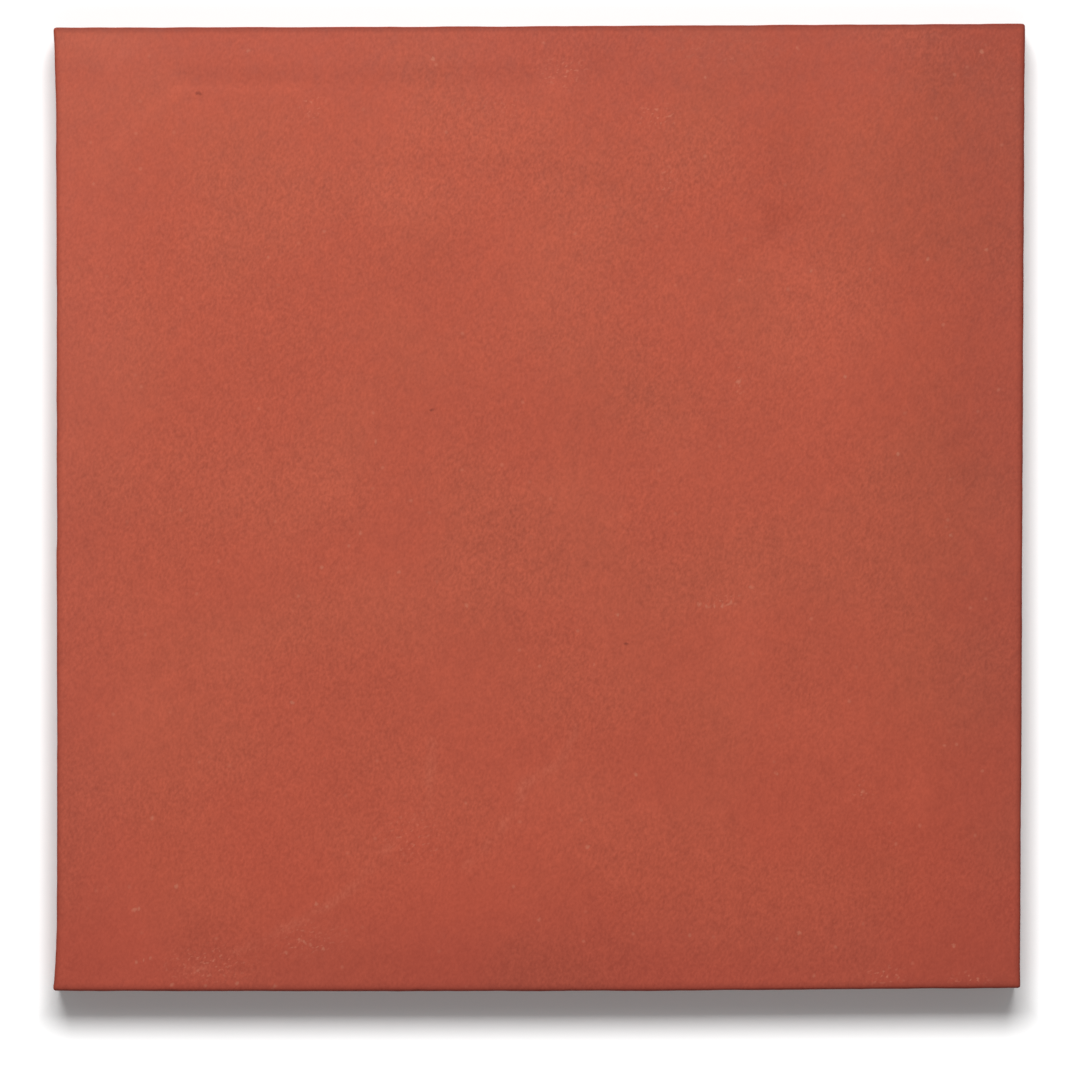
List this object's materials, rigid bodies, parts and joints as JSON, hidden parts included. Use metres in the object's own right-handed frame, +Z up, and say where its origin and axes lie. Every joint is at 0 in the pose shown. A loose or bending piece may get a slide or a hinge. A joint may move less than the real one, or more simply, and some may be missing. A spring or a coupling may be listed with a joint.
{
  "type": "terracotta floor tile",
  "caption": "Square unglazed terracotta floor tile: a flat slab of fired red clay with softly rounded edges and slightly worn corners.",
  "frame": {"origin": "centre of the bed face, which is the flat underside that lies on the floor or in the adhesive", "axes": "+Z up through the thickness to the wear face, +X to the right and +Y to the back as the tile is seen from above, with the drawn-in side at -X"},
  "size_m": [0.2, 0.2, 0.015],
  "materials": {
    "fired_clay": "unglazed brick-red fired clay, matt with a faint sheen"
  },
  "bodies": {
    "root": {"tile": "fired_clay"}
  },
  "joints": []
}
